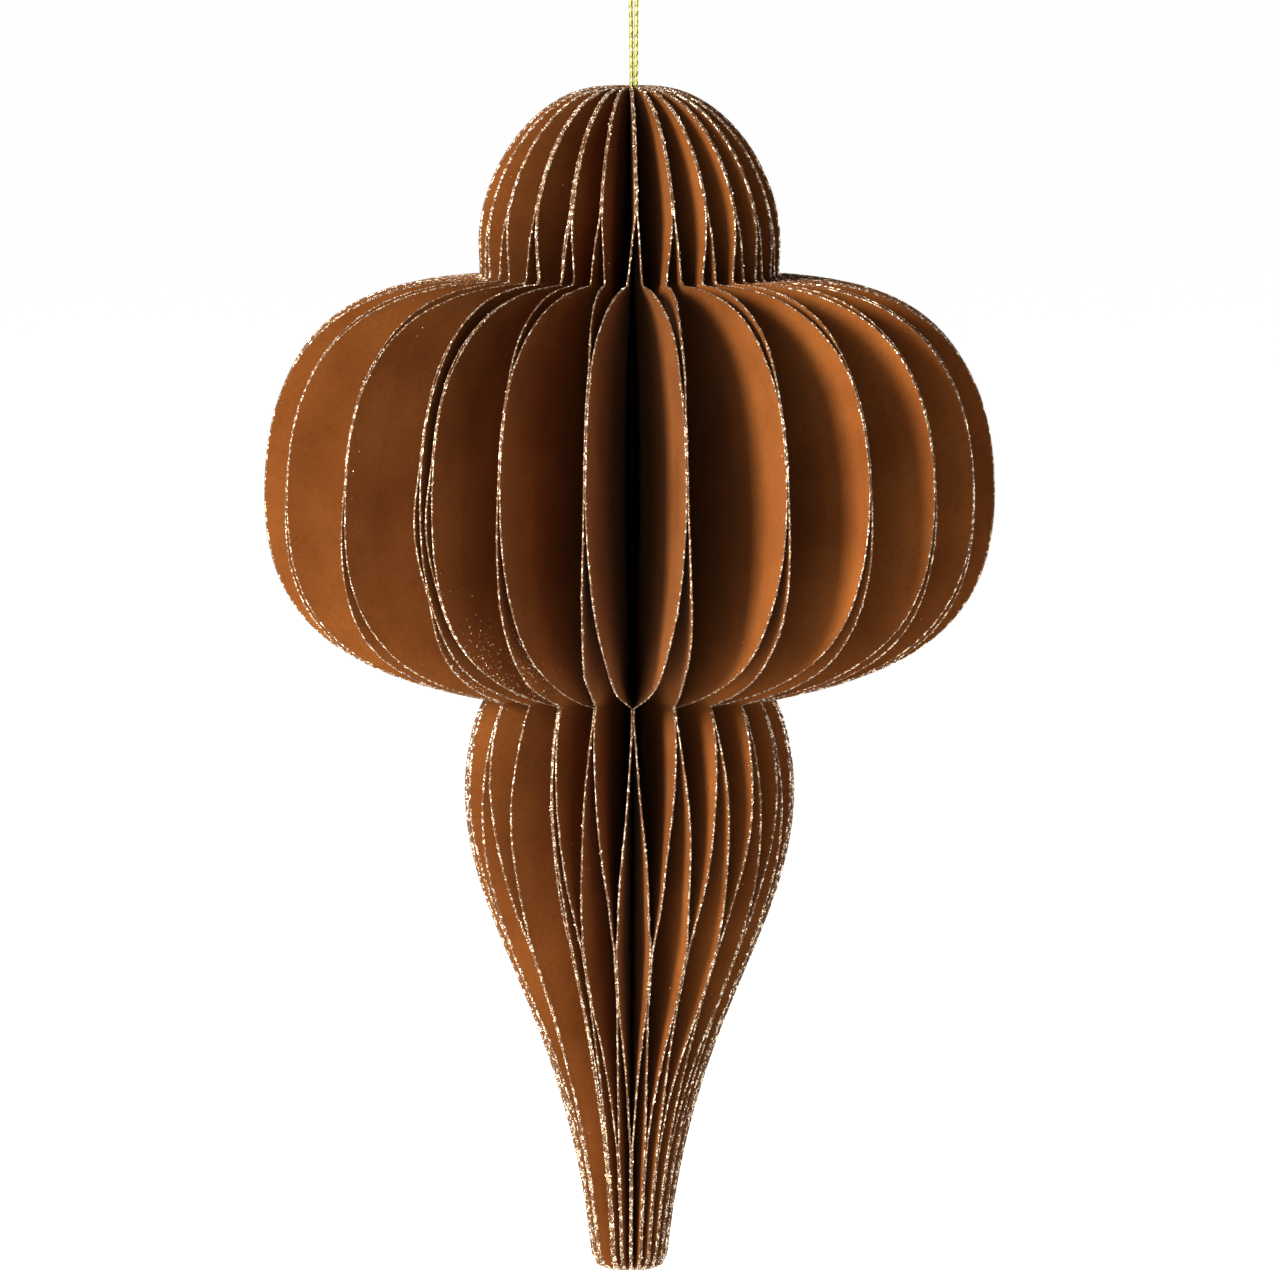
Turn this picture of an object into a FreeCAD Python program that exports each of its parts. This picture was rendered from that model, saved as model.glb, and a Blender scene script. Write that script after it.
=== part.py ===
"""Hanging paper finial: a ring of card leaves joined in pairs, with a magnet closure and a cord loop.

The origin is the hanging point, under the top of the cord loop. +Z is up and the front is -Y.
Angles round the finial start at the front and grow towards +X.
"""
import FreeCAD, Part
import math
import os

FULL_TURN = 360.0
MAX_LABEL_DIGITS = 2
DOCUMENT_NAME = "PaperFinial"

# Driving dimensions, in millimetres

SIZES = [
    ("loop_height", 58.0, "hanging point down to the crown of the paper"),
    ("dome_height", 32.3, "crown down to the neck notch"),
    ("bulb_length", 71.0, "neck notch down to the waist notch"),
    ("drop_length", 96.7, "waist notch down to the tip"),
    ("crown_radius", 3.9, "flat end of a leaf at the crown"),
    ("dome_radius", 25.4, "widest radius of the dome"),
    ("neck_radius", 25.2, "radius in the notch under the dome"),
    ("neck_corner", 0.9, "rounding in the notch under the dome"),
    ("bulb_radius", 61.8, "widest radius of the bulb"),
    ("waist_radius", 24.5, "radius in the notch under the bulb"),
    ("drop_radius", 27.8, "widest radius of the tapering drop"),
    ("tip_radius", 6.45, "radius just above the rounded tip"),
    ("tip_corner", 3.0, "corner radius at the tip"),
    ("dome_belly", 26.0, "crown down to the widest place of the dome"),
    ("bulb_belly", 35.4, "waist up to the widest place of the bulb"),
    ("drop_belly", 15.2, "waist down to the widest place of the drop"),
    ("leaf_thickness", 0.25, "card of one leaf"),
    ("glue_film", 0.03, "glue between two joined leaves"),
    ("root_play", 0.02, "further room between two leaves at the spine"),
    ("dome_glue", 20.5, "crown down to the end of the glued edge in the dome"),
    ("bulb_glue_top", 50.0, "waist up to the top of the glued edge in the bulb"),
    ("bulb_glue_foot", 39.0, "waist up to the foot of the glued edge in the bulb"),
    ("waist_glue", 2.6, "waist down to the end of the glued edge below it"),
    ("drop_glue_top", 41.0, "waist down to the top of the glued edge in the drop"),
    ("drop_glue_foot", 52.0, "waist down to the foot of the glued edge in the drop"),
    ("tip_glue", 20.0, "tip up to the end of the glued edge there"),
    ("spine_wall", 0.3, "wall of the rolled spine strip"),
    ("spine_play", 0.08, "glue between the spine strip and the leaves"),
    ("spine_slit", 0.6, "opening left in the rolled spine strip"),
    ("spine_inset", 0.6, "spine strip short of the crown and of the tip"),
    ("magnet_radius", 4.0, "closure magnet disc"),
    ("magnet_thickness", 0.5, "closure magnet disc"),
    ("magnet_inset", 6.7, "edge of a cover in to the magnet's centre"),
    ("magnet_height", 32.0, "waist up to the magnet's centre"),
    ("magnet_play", 0.05, "magnet to the flat ply of its cover"),
    ("pocket_reach", 12.0, "half the height of the bulge over a magnet"),
    ("pocket_swell", 1.0, "how far the other ply stands off at the cover's edge"),
    ("cord_diameter", 0.7, "one strand of the hanging cord"),
    ("knot_radius", 1.7, "knot in the cord, inside the spine"),
    ("knot_height", 3.2, "knot in the cord, inside the spine"),
    ("knot_round", 0.25, "rounding of the knot"),
    ("knot_side", 0.05, "knot's centre to the right of the finial's axis"),
]

# Shape of the outline: how far each stretch holds the direction it starts and ends with

DOME_HOLD = (0.57, 0.45)
BULB_TOP_HOLD = (0.67, 0.65)
BULB_FOOT_HOLD = (0.68, 0.58, 0.115)
DROP_TOP_HOLD = (0.74, 0.26, 0.23)
DROP_FOOT_HOLD = (0.30, 0.20, 0.53)

# Joints of the leaves, as angles from the front.
# In each ring the first list starts at the closure and goes right, the second comes from the left.
# The joints round the back are spread evenly between the two lists.

LEAF_COUNT = 48
CLOSURE_ANGLE = -33.4
PAIR_JOINTS = LEAF_COUNT // 2
TIP_RING = ([-24.5, -12.0, 2.0, 17.4, 31.6, 46.2, 60.0, 74.0], [-83.0, -70.0, -57.0])
WAIST_RING = ([-28.0, -13.6, 1.4, 17.9, 33.8, 50.2, 65.0, 80.0], [-96.0, -79.0, -60.3])
DOME_RING = ([-23.0, -11.1, 2.8, 17.4, 31.8, 46.0, 58.6, 71.6], [-70.0, -55.5, -39.5])

# In the bulb and the drop each cover stands alone, so these two rings start and end with a cover.

DROP_RING = ([-27.0, -21.7, -6.4, 10.1, 27.4, 44.0, 60.0, 75.0], [-86.0, -71.0, -51.0])
BULB_RING = ([-32.3, -20.6, -6.9, 9.0, 25.3, 40.7, 56.0, 69.3], [-68.5, -50.3, -34.5])

# The left cover's outer ply is free at the waist and stands away from its inner ply there.

LEFT_FLAP_WAIST = -44.3

# How a leaf swings away from the joints of the bulb and the drop, gap by gap from the tip up:
# how softly it sets out, and the share of the swing that it makes close to the next joint

SWINGS = [(1.0, 0.0), (0.8, 0.0), (1.45, 0.4), (2.0, 0.0)]
PINCH_POWER = 8
OUTLINE_STEP = 4.0
LEVEL_STEP = 1e-6
LEAST_STEPS = 3

# Route of the hanging cord, from the knot up round the loop and back

CORD_POINTS = [
    (0.37, 0.0, -63.0),
    (0.37, 0.0, -50.5),
    (-0.05, 0.0, -35.0),
    (-1.5, 0.0, -19.0),
    (-3.0, 0.0, -7.0),
    (-2.1, 0.0, 0.35),
    (2.1, 0.0, 0.35),
    (3.1, 0.0, -7.0),
    (2.1, 0.0, -18.0),
    (1.3, 0.0, -34.0),
    (1.13, 0.0, -49.5),
    (1.13, 0.0, -63.0),
]
CORD_ARC_SHARE = 0.45

doc = FreeCAD.newDocument(DOCUMENT_NAME)
sheet = doc.addObject("Spreadsheet::Sheet", "Sizes")
for row, (alias, value, meaning) in enumerate(SIZES, start=1):
    sheet.set("A%d" % row, alias)
    sheet.set("B%d" % row, str(value))
    sheet.set("C%d" % row, meaning)
    sheet.setAlias("B%d" % row, alias)
doc.recompute()


def size(alias):
    """A driving dimension from the sheet."""
    return float(sheet.get(alias))


# Levels of the finial, as heights under the hanging point

CROWN = -size("loop_height")
NECK = CROWN - size("dome_height")
WAIST = NECK - size("bulb_length")
TIP = WAIST - size("drop_length")
PITCH = size("leaf_thickness") + size("glue_film")
PLY_COUNT = LEAF_COUNT + 2
SPINE_SEAT = PLY_COUNT * (PITCH + size("root_play")) / (2 * math.pi)


def outline_curves():
    """The outline of a leaf as curves of (radius, 0, height), from the tip up to the crown."""
    neck = FreeCAD.Vector(size("neck_radius"), 0, NECK)
    waist = FreeCAD.Vector(size("waist_radius"), 0, WAIST)
    crown = FreeCAD.Vector(size("crown_radius"), 0, CROWN)
    dome = FreeCAD.Vector(size("dome_radius"), 0, CROWN - size("dome_belly"))
    bulb = FreeCAD.Vector(size("bulb_radius"), 0, WAIST + size("bulb_belly"))
    drop = FreeCAD.Vector(size("drop_radius"), 0, WAIST - size("drop_belly"))
    corner = size("tip_corner")
    tip = FreeCAD.Vector(size("tip_radius"), 0, TIP + corner)
    tip_end = FreeCAD.Vector(size("tip_radius") - corner, 0, TIP)
    tip_middle = FreeCAD.Vector(
        size("tip_radius") - corner * (1 - math.sqrt(0.5)), 0, TIP + corner * (1 - math.sqrt(0.5)))
    along = FreeCAD.Vector(1, 0, 0)
    up = FreeCAD.Vector(0, 0, 1)
    rounding = size("neck_corner")
    neck_foot = neck + along * rounding
    neck_head = neck + up * rounding
    neck_middle = neck + (along + up) * rounding * (1 - math.sqrt(0.5))

    def stretch(start, start_hold, end_hold, end):
        curve = Part.BezierCurve()
        curve.setPoles([start, start_hold, end_hold, end])
        return curve

    drop_rise = drop.z - tip.z
    drop_spread = drop.x - tip.x
    waist_rise = waist.z - drop.z
    waist_spread = drop.x - waist.x
    foot_rise = bulb.z - waist.z
    foot_spread = bulb.x - waist.x
    return [
        Part.Arc(tip_end, tip_middle, tip),
        stretch(
            tip,
            tip + along * DROP_FOOT_HOLD[1] * drop_spread + up * DROP_FOOT_HOLD[2] * drop_rise,
            drop - up * DROP_FOOT_HOLD[0] * drop_rise,
            drop),
        stretch(
            drop,
            drop + up * DROP_TOP_HOLD[2] * waist_rise,
            waist + along * DROP_TOP_HOLD[0] * waist_spread - up * DROP_TOP_HOLD[1] * waist_rise,
            waist),
        stretch(
            waist,
            waist + along * BULB_FOOT_HOLD[1] * foot_spread + up * BULB_FOOT_HOLD[2] * foot_spread,
            bulb - up * BULB_FOOT_HOLD[0] * foot_rise,
            bulb),
        stretch(
            bulb,
            bulb + up * BULB_TOP_HOLD[1] * (neck.z - bulb.z),
            neck_foot + along * BULB_TOP_HOLD[0] * (bulb.x - neck_foot.x),
            neck_foot),
        Part.Arc(neck_foot, neck_middle, neck_head),
        Part.LineSegment(neck_head, dome),
        stretch(
            dome,
            dome + up * DOME_HOLD[1] * (crown.z - dome.z),
            crown + along * DOME_HOLD[0] * (dome.x - crown.x),
            crown),
    ]


def parameter_at(curve, height):
    """The parameter where a rising curve reaches a height, by halving."""
    low, high = curve.FirstParameter, curve.LastParameter
    for _ in range(50):
        middle = (low + high) / 2
        if curve.value(middle).z < height:
            low = middle
        else:
            high = middle
    return (low + high) / 2


class Outline:
    """The cut edge of a leaf: a chain of curves, with lengths measured along it from the tip."""

    def __init__(self, curves):
        self.curves = curves
        self.starts = [0.0]
        for curve in curves:
            length = curve.length(curve.FirstParameter, curve.LastParameter)
            self.starts.append(self.starts[-1] + length)
        self.notches = [(self.at(height)[2], height) for height in (TIP, WAIST, NECK, CROWN)]

    def at(self, height):
        """Radius, height and length along the edge of the place at a height."""
        for start, curve in zip(self.starts, self.curves):
            if height <= curve.value(curve.LastParameter).z + LEVEL_STEP:
                parameter = parameter_at(curve, height)
                return curve.value(parameter).x, height, start + curve.length(curve.FirstParameter, parameter)
        raise ValueError("the edge has no place at height %.3f" % height)

    def points(self, foot, head):
        """Places between two heights, about one step apart, each as radius, height and length."""
        points = []
        for start, curve in zip(self.starts, self.curves):
            curve_foot = curve.value(curve.FirstParameter).z
            curve_head = curve.value(curve.LastParameter).z
            low = max(foot, curve_foot)
            high = min(head, curve_head)
            if high - low < LEVEL_STEP:
                continue
            first = parameter_at(curve, low) if low > curve_foot else curve.FirstParameter
            last = parameter_at(curve, high) if high < curve_head else curve.LastParameter
            steps = max(LEAST_STEPS, int(math.ceil(curve.length(first, last) / OUTLINE_STEP)))
            for step in range(1 if points else 0, steps + 1):
                parameter = first + (last - first) * step / steps
                point = curve.value(parameter)
                points.append((point.x, point.z, start + curve.length(curve.FirstParameter, parameter)))
        return points

    def root_height(self, reach):
        """Height on the spine of the fold line that runs to a place on the edge."""
        for (foot_reach, foot), (head_reach, head) in zip(self.notches[:-1], self.notches[1:]):
            if reach <= head_reach:
                return foot + (head - foot) * (reach - foot_reach) / (head_reach - foot_reach)
        return CROWN


def joint_ring(ring, count):
    """All joint angles of a ring, from the right cover round the back to the left cover."""
    right, left = ring
    hidden = count - len(right) - len(left)
    step = (left[0] + FULL_TURN - right[-1]) / (hidden + 1)
    back = [right[-1] + step * (number + 1) for number in range(hidden)]
    return right + back + [angle + FULL_TURN for angle in left]


def glue_zones(bulb_foot):
    """Foot and head of each glued stretch of a leaf, from the tip up."""
    return [
        (TIP, TIP + size("tip_glue")),
        (WAIST - size("drop_glue_foot"), WAIST - size("drop_glue_top")),
        (WAIST - size("waist_glue"), WAIST),
        (bulb_foot, WAIST + size("bulb_glue_top")),
        (CROWN - size("dome_glue"), CROWN),
    ]


def swing(gap, away):
    """Share of its swing made by a leaf that has left the joint of the bulb or the drop."""
    softness, pinch = SWINGS[gap]
    return (1 - pinch) * away ** softness + pinch * away ** PINCH_POWER


def blend(zones, values, reach):
    """A value given for each zone, blended at a place on the edge between two zones."""
    if reach <= zones[0][1]:
        return values[0]
    for gap in range(len(zones) - 1):
        foot = zones[gap][1]
        head = zones[gap + 1][0]
        if reach < head:
            rise = (reach - foot) / (head - foot)
            if gap % 2 == 0:
                return values[gap + 1] + (values[gap] - values[gap + 1]) * swing(gap, 1 - rise)
            return values[gap] + (values[gap + 1] - values[gap]) * swing(gap, rise)
        if reach <= zones[gap + 1][1]:
            return values[gap + 1]
    return values[-1]


def place(radius, angle, side, height):
    """A point at a radius and an angle from the front, moved sideways."""
    turn = math.radians(angle)
    return FreeCAD.Vector(
        radius * math.sin(turn) + side * math.cos(turn),
        -radius * math.cos(turn) + side * math.sin(turn),
        height)


def pocket(height):
    """Share of the full swell of a magnet pocket at a height."""
    away = abs(height - WAIST - size("magnet_height")) / size("pocket_reach")
    if away >= 1:
        return 0.0
    return (1 - away * away) ** 2


def smooth_edge(points, parameters):
    """One smooth edge through points that have given parameters."""
    curve = Part.BSplineCurve()
    curve.interpolate(Points=points, Parameters=parameters)
    return curve.toShape()


class Ply:
    """One sheet of card: where it sits on the spine and how it swings from joint to joint."""

    def __init__(self, outline, name, slot, angles, sides, zones, swell=0.0):
        self.outline = outline
        self.name = name
        self.root_angle = CLOSURE_ANGLE + (slot + 0.5) * FULL_TURN / PLY_COUNT
        self.angles = angles
        self.sides = sides
        self.zones = zones
        self.reaches = [(outline.at(foot)[2], outline.at(head)[2]) for foot, head in zones]
        self.swell = swell

    def rim_point(self, radius, height, reach, side):
        """A point on the cut edge, on one face of the card."""
        angle = blend(self.reaches, self.angles, reach)
        offset = blend(self.reaches, self.sides, reach) + self.swell * pocket(height)
        return place(radius, angle, offset + side, height)

    def root_point(self, reach, side):
        """The point on the spine, on one face of the card, that belongs to a place on the edge."""
        return place(SPINE_SEAT, self.root_angle, side, self.outline.root_height(reach))

    def solid(self):
        """The card as one solid."""
        half = size("leaf_thickness") / 2
        faces = []
        heights = sorted(set([height for zone in self.zones for height in zone] + [NECK]))
        for foot, head in zip(heights[:-1], heights[1:]):
            edges = self.span_edges(self.outline.points(foot, head), half)
            corners = [("root", -1), ("rim", -1), ("rim", 1), ("root", 1)]
            for start, end in zip(corners, corners[1:] + corners[:1]):
                faces.append(Part.makeRuledSurface(edges[start], edges[end]))
        for height in (TIP, CROWN):
            faces.append(self.end_face(height, half))
        shell = Part.makeShell(faces)
        shell.sewShape()
        solid = Part.makeSolid(shell)
        if solid.Volume < 0:
            solid.reverse()
        return solid

    def span_edges(self, places, half):
        """The four long edges of the card between two heights."""
        rim = [self.rim_point(*item, 0) for item in places]
        parameters = [0.0]
        for before, after in zip(rim[:-1], rim[1:]):
            parameters.append(parameters[-1] + before.distanceToPoint(after))
        edges = {}
        for side in (-1, 1):
            rim = [self.rim_point(*item, side * half) for item in places]
            root = [self.root_point(item[2], side * half) for item in places]
            edges[("rim", side)] = smooth_edge(rim, parameters)
            edges[("root", side)] = smooth_edge(root, parameters)
        return edges

    def end_face(self, height, half):
        """The flat end of the card at the crown or at the tip."""
        item = self.outline.at(height)
        corners = [
            self.root_point(item[2], -half),
            self.rim_point(*item, -half),
            self.rim_point(*item, half),
            self.root_point(item[2], half),
        ]
        return Part.Face(Part.makePolygon(corners + corners[:1]))

    def ruling(self, height):
        """The middle line of the card from the spine to the place on its edge at a height."""
        item = self.outline.at(height)
        return self.root_point(item[2], 0), self.rim_point(*item, 0)


def all_plies(outline):
    """Every sheet of card, from the right cover round the back to the left cover."""
    half = PITCH / 2
    rings = [
        joint_ring(TIP_RING, PAIR_JOINTS),
        joint_ring(DROP_RING, PAIR_JOINTS + 1),
        joint_ring(WAIST_RING, PAIR_JOINTS),
        joint_ring(BULB_RING, PAIR_JOINTS + 1),
        joint_ring(DOME_RING, PAIR_JOINTS),
    ]
    leaf_zones = glue_zones(WAIST + size("bulb_glue_foot"))
    cover_zones = glue_zones(WAIST + size("magnet_height") - size("pocket_reach"))
    swell = size("pocket_swell")
    plies = []

    def add(name, slot, angles, sides, zones, ply_swell=0.0):
        plies.append(Ply(outline, name, slot, angles, sides, zones, ply_swell))

    for leaf in range(LEAF_COUNT):
        angles = []
        sides = []
        for number, ring in enumerate(rings):
            if number % 2 == 0:
                angles.append(ring[leaf // 2])
                sides.append(half if leaf % 2 else -half)
            else:
                angles.append(ring[(leaf + 1) // 2])
                sides.append(-half if leaf % 2 else half)
        if leaf == 0:
            outer_sides = [-3 * half if number % 2 == 0 else -half for number in range(len(rings))]
            add("cover_right_outer", 0, angles, outer_sides, cover_zones, -swell)
            add("cover_right_inner", 1, angles, sides, cover_zones)
        elif leaf == LEAF_COUNT - 1:
            outer_angles = angles[:2] + [LEFT_FLAP_WAIST + FULL_TURN] + angles[3:]
            outer_sides = [3 * half if number % 2 == 0 else half for number in range(len(rings))]
            add("cover_left_inner", PLY_COUNT - 2, angles, sides, cover_zones, -swell)
            add("cover_left_outer", PLY_COUNT - 1, outer_angles, outer_sides, cover_zones)
        else:
            add("leaf_%s" % str(leaf).zfill(MAX_LABEL_DIGITS), leaf + 1, angles, sides, leaf_zones)
    return plies


def add_shape(name, shape, placement=None):
    """A document object that holds a finished shape."""
    feature = doc.addObject("Part::Feature", name)
    feature.Label = name
    feature.Shape = shape
    feature.Placement = placement or FreeCAD.Placement()
    return feature


def add_spine():
    """The rolled strip that the leaves are bound to, open along the closure."""
    length = "Sizes.dome_height + Sizes.bulb_length + Sizes.drop_length - 2 * Sizes.spine_inset"
    outer = doc.addObject("Part::Cylinder", "SpineOuter")
    outer.Radius = SPINE_SEAT - size("spine_play")
    outer.setExpression("Height", length)
    bore = doc.addObject("Part::Cylinder", "SpineBore")
    bore.setExpression("Radius", "SpineOuter.Radius - Sizes.spine_wall * 1 mm")
    bore.setExpression("Height", length)
    slit = doc.addObject("Part::Box", "SpineSlit")
    slit.setExpression("Length", "Sizes.spine_slit")
    slit.setExpression("Width", "SpineOuter.Radius")
    slit.setExpression("Height", length)
    foot = FreeCAD.Vector(0, 0, TIP + size("spine_inset"))
    turn = FreeCAD.Rotation(FreeCAD.Vector(0, 0, 1), CLOSURE_ANGLE + FULL_TURN / 2)
    for tool in (outer, bore):
        tool.Placement = FreeCAD.Placement(foot, FreeCAD.Rotation())
    side = turn.multVec(FreeCAD.Vector(-size("spine_slit") / 2, 0, 0))
    slit.Placement = FreeCAD.Placement(foot + side, turn)
    tube = doc.addObject("Part::Cut", "SpineTube")
    tube.Base = outer
    tube.Tool = bore
    strip = doc.addObject("Part::Cut", "spine_strip")
    strip.Label = "spine_strip"
    strip.Base = tube
    strip.Tool = slit
    return strip


def add_magnet(name, flat_ply, swollen_ply):
    """A closure magnet in a cover, flat against the ply that isn't swollen."""
    root, rim = flat_ply.ruling(WAIST + size("magnet_height"))
    along = (rim - root).normalize()
    across = along.cross(FreeCAD.Vector(0, 0, 1)).normalize()
    if across.dot(swollen_ply.ruling(rim.z)[1] - rim) < 0:
        across = across * -1
    stand_off = size("leaf_thickness") / 2 + size("magnet_play")
    seat = rim - along * size("magnet_inset") + across * stand_off
    magnet = doc.addObject("Part::Cylinder", name)
    magnet.Label = name
    magnet.setExpression("Radius", "Sizes.magnet_radius")
    magnet.setExpression("Height", "Sizes.magnet_thickness")
    magnet.Placement = FreeCAD.Placement(seat, FreeCAD.Rotation(FreeCAD.Vector(0, 0, 1), across))
    return magnet


def add_knot():
    """The knot that keeps the cord in the spine, its top face under the two cord ends."""
    barrel = doc.addObject("Part::Cylinder", "KnotBarrel")
    barrel.setExpression("Radius", "Sizes.knot_radius")
    barrel.setExpression("Height", "Sizes.knot_height")
    top = CORD_POINTS[0][2]
    knot = doc.addObject("Part::Fillet", "cord_knot")
    knot.Label = "cord_knot"
    knot.Base = barrel
    barrel.Placement.Base = FreeCAD.Vector(size("knot_side"), 0, top - size("knot_height"))
    doc.recompute()
    rims = []
    for number, edge in enumerate(barrel.Shape.Edges, start=1):
        if isinstance(edge.Curve, Part.Circle):
            rims.append((number, size("knot_round"), size("knot_round")))
    knot.Edges = rims
    return knot


def cord_path():
    """Straight runs and tangent arcs through the cord's points, and the arcs' radii."""
    points = [FreeCAD.Vector(*point) for point in CORD_POINTS]
    edges = []
    radii = []
    start = points[0]
    for before, corner, after in zip(points[:-2], points[1:-1], points[2:]):
        back = (before - corner).normalize()
        forth = (after - corner).normalize()
        half_turn = (math.pi - back.getAngle(forth)) / 2
        cut = CORD_ARC_SHARE * min(corner.distanceToPoint(before), corner.distanceToPoint(after))
        radius = cut / math.tan(half_turn)
        arc_start = corner + back * cut
        arc_end = corner + forth * cut
        bisector = (back + forth).normalize()
        arc_middle = corner + bisector * (radius / math.cos(half_turn) - radius)
        edges.append(Part.LineSegment(start, arc_start).toShape())
        edges.append(Part.Arc(arc_start, arc_middle, arc_end).toShape())
        radii.append(radius)
        start = arc_end
    edges.append(Part.LineSegment(start, points[-1]).toShape())
    return Part.Wire(edges), radii


def add_cord():
    """The hanging cord: one strand up, round the loop and down again."""
    path, radii = cord_path()
    section = Part.Wire(Part.makeCircle(
        size("cord_diameter") / 2, FreeCAD.Vector(*CORD_POINTS[0]), FreeCAD.Vector(0, 0, 1)))
    tube = path.makePipeShell([section], True, False)
    area = math.pi * size("cord_diameter") ** 2 / 4
    print("cord length %.1f, radii %s" % (path.Length, ["%.1f" % radius for radius in radii]))
    print("cord volume %.2f, section by length %.2f" % (tube.Volume, area * path.Length))
    return add_shape("hanging_loop", tube)


def check(objects):
    """Stop if an object of the document failed or a sub-part has no valid shape."""
    for item in doc.Objects:
        if "Invalid" in item.State or "Error" in item.State:
            raise RuntimeError("%s failed: %s" % (item.Label, item.State))
    for item in objects:
        if item.Shape.isNull() or not item.Shape.isValid():
            raise RuntimeError("%s has no valid shape" % item.Label)


def main():
    """Build every sub-part and write it."""
    plies = all_plies(Outline(outline_curves()))
    parts = [add_shape(ply.name, ply.solid()) for ply in plies]
    parts.append(add_spine())
    parts.append(add_magnet("magnet_right", plies[1], plies[0]))
    parts.append(add_magnet("magnet_left", plies[-1], plies[-2]))
    parts.append(add_knot())
    parts.append(add_cord())
    doc.recompute()
    check(parts)
    os.makedirs("parts", exist_ok=True)
    for item in parts:
        item.Shape.exportStep("parts/%s.step" % item.Label)
    print("%d sub-parts, paper from %.1f to %.1f" % (len(parts), TIP, CROWN))


main()
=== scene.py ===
"""Dress a hanging paper finial: glued card leaves with glittered edges, hung from a gold cord.

Lengths inside the classes are millimetres and every mesh is written in metres. The origin is the
hanging point, +Z is up and the front is -Y. Angles are degrees and grow from the front towards
+X. In the finishes, scales are a metre and the depth of a bump is metres.
"""
import logging
import math
from dataclasses import dataclass, field
from enum import Enum
from functools import cached_property
from typing import Any, Sequence

import bpy
import numpy as np
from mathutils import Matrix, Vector


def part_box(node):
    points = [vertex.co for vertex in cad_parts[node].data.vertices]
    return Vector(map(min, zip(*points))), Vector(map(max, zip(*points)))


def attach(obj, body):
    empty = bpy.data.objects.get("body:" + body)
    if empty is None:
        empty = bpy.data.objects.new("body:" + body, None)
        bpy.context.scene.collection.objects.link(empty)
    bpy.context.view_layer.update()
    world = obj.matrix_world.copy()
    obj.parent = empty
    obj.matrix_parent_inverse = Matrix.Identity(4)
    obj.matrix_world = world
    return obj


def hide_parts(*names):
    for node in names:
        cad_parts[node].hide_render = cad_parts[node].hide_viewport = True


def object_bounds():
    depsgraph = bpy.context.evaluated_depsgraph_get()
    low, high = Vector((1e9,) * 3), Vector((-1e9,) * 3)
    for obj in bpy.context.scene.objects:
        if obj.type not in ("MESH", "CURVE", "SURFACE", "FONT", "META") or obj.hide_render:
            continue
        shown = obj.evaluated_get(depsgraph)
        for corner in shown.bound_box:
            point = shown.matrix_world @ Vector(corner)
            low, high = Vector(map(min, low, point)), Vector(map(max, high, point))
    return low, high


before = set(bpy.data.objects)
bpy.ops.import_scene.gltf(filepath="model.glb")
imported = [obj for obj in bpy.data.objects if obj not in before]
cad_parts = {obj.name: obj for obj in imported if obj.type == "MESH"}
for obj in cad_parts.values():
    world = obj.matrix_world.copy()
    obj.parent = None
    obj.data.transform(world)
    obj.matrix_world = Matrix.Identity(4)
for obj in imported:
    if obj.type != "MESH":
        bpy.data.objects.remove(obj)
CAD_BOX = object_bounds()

LOG = logging.getLogger("paper_finial")
MM = 0.001
BODY = "root"
FULL_TURN = 360.0

MIX_COLOURS = (6, 7)
MIX_RESULT = 2
CRUST_FACES = 4

Colour = tuple[float, float, float]
Span = tuple[float, float]
Points = np.ndarray


class Slot(Enum):
    """Material slots of the record that the pieces take the place of."""

    CARD = "card"
    CORD = "cord"


class Grain(Enum):
    """Colours of the glitter grains, each with its share of all grains."""

    CHAMPAGNE = 0.45
    SILVER = 0.43
    COPPER = 0.12


class Sock:
    """A shader socket that takes part in Python expressions."""

    def __init__(self, tree: "ShaderTree", socket: bpy.types.NodeSocket) -> None:
        """Keep the socket and the tree it belongs to."""
        self.tree = tree
        self.socket = socket

    def __add__(self, other: "Sock | float") -> "Sock":
        """Sum of two values."""
        return self.tree.maths("ADD", self, other)

    __radd__ = __add__

    def __sub__(self, other: "Sock | float") -> "Sock":
        """Difference of two values."""
        return self.tree.maths("SUBTRACT", self, other)

    def __rsub__(self, other: float) -> "Sock":
        """Number less this value."""
        return self.tree.maths("SUBTRACT", other, self)

    def __mul__(self, other: "Sock | float") -> "Sock":
        """Product of two values."""
        return self.tree.maths("MULTIPLY", self, other)

    __rmul__ = __mul__

    def __gt__(self, other: float) -> "Sock":
        """One where the value is larger than a number, otherwise zero."""
        return self.tree.maths("GREATER_THAN", self, other)


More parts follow.
